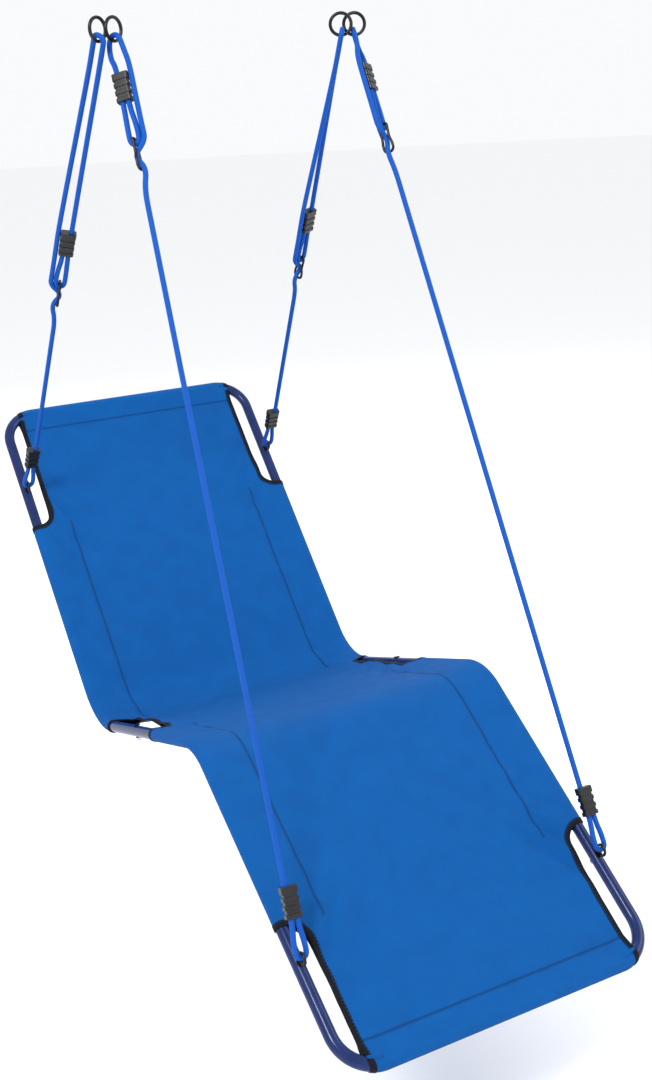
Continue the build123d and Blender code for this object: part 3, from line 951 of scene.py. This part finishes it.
def woven(name, low, high, thread_m, roughness, bump_m, seams=False):
    """Plain weave: warp and weft ridges that take turns on top, painted lighter on the thread tops and
    darker in the gaps between them as painted shade.
    """
    material, tree, shader = new_material(name, high, roughness)
    uv = add(tree, "ShaderNodeUVMap").outputs[0]
    parts = add(tree, "ShaderNodeSeparateXYZ", {0: uv})
    across = math(tree, "MULTIPLY", parts.outputs[0], 1 / thread_m)
    down = math(tree, "MULTIPLY", parts.outputs[1], 1 / thread_m)
    turn_of = math(tree, "ADD", math(tree, "FLOOR", across), math(tree, "FLOOR", down))
    odd = math(tree, "ABSOLUTE", math(tree, "MODULO", turn_of, 2.0))
    ridges = {"Factor": odd, "A": ridge_of(tree, across), "B": ridge_of(tree, down)}
    top = add(tree, "ShaderNodeMix", ridges).outputs[0]
    patchy = noise(tree, uv, 22.0, 4.0)
    slub = noise(tree, uv, 900.0, 2.0, stretch=(1, 0.06, 1))
    # Painted shade in the weave: the thread tops are lighter and the gaps between threads darker, mixed
    # with the cloth's own patchy, slubby tone.
    tone = math(tree, "ADD", math(tree, "MULTIPLY", top, 0.45), math(tree, "MULTIPLY", patchy, 0.35))
    tone = math(tree, "ADD", tone, math(tree, "MULTIPLY", slub, 0.20))
    color = ramp(tree, tone, low, high, (0.15, 0.85))
    # Painted shade: the cloth's colour is darkened along the seams, where the creases fall in shade.
    if seams:
        crease_shade = painted_seam_shade(tree, *parts.outputs[:2])
        shaded = add(
            tree, "ShaderNodeMix", {"Factor": 1.0, "A": color}, data_type="RGBA", blend_type="MULTIPLY",
        )
        tree.links.new(crease_shade, shaded.inputs["B"])
        color = shaded.outputs["Result"]
    tree.links.new(color, shader.inputs["Base Color"])
    rough = spread(tree, slub, roughness - 0.08, roughness + 0.08)
    tree.links.new(rough, shader.inputs["Roughness"])
    shader.inputs["Specular IOR Level"].default_value = 0.14
    bump(tree, math(tree, "ADD", top, math(tree, "MULTIPLY", slub, 0.5)), shader, bump_m)
    return material


# The sling cloth has painted shade along its seams.
cloth = woven(
    "blue sling cloth", (0.0002, 0.050, 0.205), (0.0006, 0.103, 0.375), CLOTH_THREAD, 0.80, 0.00022,
    seams=True,
)
tape_cloth = woven(
    "black binding tape", (0.0015, 0.0018, 0.003), (0.006, 0.007, 0.011), TAPE_THREAD, 0.7, 0.0002,
)
thread_cloth, tree, shader = new_material("dark blue thread", (0.004, 0.05, 0.20), 0.55)
place_on = add(tree, "ShaderNodeTexCoord").outputs["Object"]
thread_tone = ramp(tree, noise(tree, place_on, 900.0), (0.0006, 0.045, 0.18), (0.002, 0.10, 0.36))
tree.links.new(thread_tone, shader.inputs["Base Color"])
paint_on(sling, cloth)
paint_on(stitches, thread_cloth)
for obj in bpy.data.objects:
    if "_notch_tape_" in obj.name:
        paint_on(obj, tape_cloth)

# %% Braided rope
rope_cloth, tree, shader = new_material("blue braided rope", (0.004, 0.07, 0.55), 0.5)
uv = add(tree, "ShaderNodeUVMap").outputs[0]
parts = add(tree, "ShaderNodeSeparateXYZ", {0: uv})
first = math(tree, "MULTIPLY", math(tree, "ADD", parts.outputs[0], parts.outputs[1]), YARNS)
second = math(tree, "MULTIPLY", math(tree, "SUBTRACT", parts.outputs[0], parts.outputs[1]), YARNS)
count = math(tree, "ADD", math(tree, "FLOOR", first), math(tree, "FLOOR", second))
on_top = math(tree, "LESS_THAN", math(tree, "FLOORED_MODULO", count, 4.0), 2.0)
yarn = add(tree, "ShaderNodeMix", {"Factor": on_top, "A": second, "B": first}).outputs[0]
run = add(tree, "ShaderNodeMix", {"Factor": on_top, "A": first, "B": second}).outputs[0]
share = math(tree, "FRACT", yarn)
ridge = math(tree, "SINE", math(tree, "MULTIPLY", share, pi))
fibre_at = add(tree, "ShaderNodeCombineXYZ", {0: math(tree, "MULTIPLY", yarn, 9.0), 1: run}).outputs[0]
fibre = noise(tree, fibre_at, 1.6, 3.0)
# Painted highlight and shade: each yarn is painted lighter along its crown and darker in the crevices
# between yarns, mixed with the fibres' own tone.
tone = math(tree, "ADD", math(tree, "MULTIPLY", ridge, 0.6), math(tree, "MULTIPLY", fibre, 0.5))
yarn_color_and_shade = ramp(tree, tone, (0.0004, 0.012, 0.110), (0.004, 0.125, 0.610), (0.25, 0.95))
tree.links.new(yarn_color_and_shade, shader.inputs["Base Color"])
tree.links.new(spread(tree, fibre, 0.42, 0.66), shader.inputs["Roughness"])
shader.inputs["Specular IOR Level"].default_value = 0.16
bump(tree, math(tree, "ADD", ridge, math(tree, "MULTIPLY", fibre, 0.6)), shader, 0.0004)
for rope in ropes.values():
    paint_on(rope, rope_cloth)


# %% [markdown]
# ## Paint, steel, chrome and plastic
# The tubes are powder coated a glossy dark navy with a faint orange peel. The rings, links and bolts
# are black steel, the dome nuts bright chrome, the blocks moulded plastic. One function makes all four,
# because they differ only in colour, gloss and grain.

# %% Hard finishes
def hard_finish(name, low, high, rough, metallic, grain_scale, grain_m, shine=0.5):
    """Paint, metal or plastic with uneven tone and gloss, and a fine grain."""
    material, tree, shader = new_material(name, high, rough[0], metallic)
    spot = add(tree, "ShaderNodeTexCoord").outputs["Object"]
    cloudy = noise(tree, spot, 35.0, 5.0)
    fine = noise(tree, spot, grain_scale, 2.0)
    tree.links.new(ramp(tree, cloudy, low, high, (0.3, 0.75)), shader.inputs["Base Color"])
    tree.links.new(spread(tree, cloudy, *rough), shader.inputs["Roughness"])
    shader.inputs["Specular IOR Level"].default_value = shine
    bump(tree, fine, shader, grain_m)
    return material


paint = hard_finish(
    "navy gloss paint", (0.007, 0.017, 0.078), (0.012, 0.027, 0.118), (0.14, 0.22),
    metallic=0.0, grain_scale=420.0, grain_m=0.00003, shine=0.2,
)
black_steel = hard_finish(
    "black steel", (0.010, 0.010, 0.012), (0.040, 0.040, 0.044), (0.26, 0.46),
    metallic=0.85, grain_scale=900.0, grain_m=0.00003,
)
chrome = hard_finish(
    "bright chrome", (0.70, 0.70, 0.72), (0.86, 0.86, 0.88), (0.05, 0.14),
    metallic=1.0, grain_scale=600.0, grain_m=0.000004,
)
plastic = hard_finish(
    "black moulded plastic", (0.003, 0.003, 0.0035), (0.009, 0.009, 0.010), (0.26, 0.40),
    metallic=0.0, grain_scale=1500.0, grain_m=0.00003,
)
BY_SLOT = {"tube": paint, "ring": black_steel, "bolt": black_steel, "nut": chrome, "block": plastic}
slots = {part["node"]: part["material_slot"] for part in frame["record"].get("subparts", [])}
for name, node in NODES.items():
    if slots.get(name) in BY_SLOT:
        paint_on(node, BY_SLOT[slots[name]])
print("finishes on", len(slots), "nodes")

# %% [markdown]
# ## Stage and light
# The lounger hangs over a plain pale floor, wide enough that its rim is lost in the bright room. Three
# soft square lights keep the shadows faint: a key from the front left, a fill opposite, one behind.

# %% Floor
FLOOR_Z, FLOOR_R = -1.80, 60
bm = bmesh.new()
level = Matrix.Translation((0, 0, FLOOR_Z))
bmesh.ops.create_circle(bm, cap_ends=True, radius=FLOOR_R, segments=96, matrix=level)
floor = finish_mesh("pale_floor", bm)
floor_paint, tree, shader = new_material("pale floor", (0.95, 0.95, 0.95), 0.9)
paint_on(floor, floor_paint)


# %% Lights
def soft_light(name, place, target, size, power):
    """A square soft light that faces a point."""
    data = bpy.data.lights.new(name, "AREA")
    data.shape, data.size, data.energy = "SQUARE", size, power
    light = bpy.data.objects.new(name, data)
    light.location = place
    light.rotation_euler = (Vector(target) - Vector(place)).to_track_quat("-Z", "Y").to_euler()
    bpy.context.collection.objects.link(light)


MIDDLE = (0, 0, -1.0)
soft_light("key_light", (-3.0, -2.6, 2.6), MIDDLE, 1.2, 190)
soft_light("fill_light", (3.6, -2.2, 1.2), MIDDLE, 2.4, 70)
soft_light("back_light", (1.0, 3.6, 2.2), MIDDLE, 2.2, 80)
world = bpy.data.worlds.new("pale_room")
world.use_nodes = True
world.node_tree.nodes["Background"].inputs["Color"].default_value = (0.97, 0.98, 1.0, 1)
world.node_tree.nodes["Background"].inputs["Strength"].default_value = 0.98
bpy.context.scene.world = world
bpy.context.scene.view_settings.view_transform = "Standard"
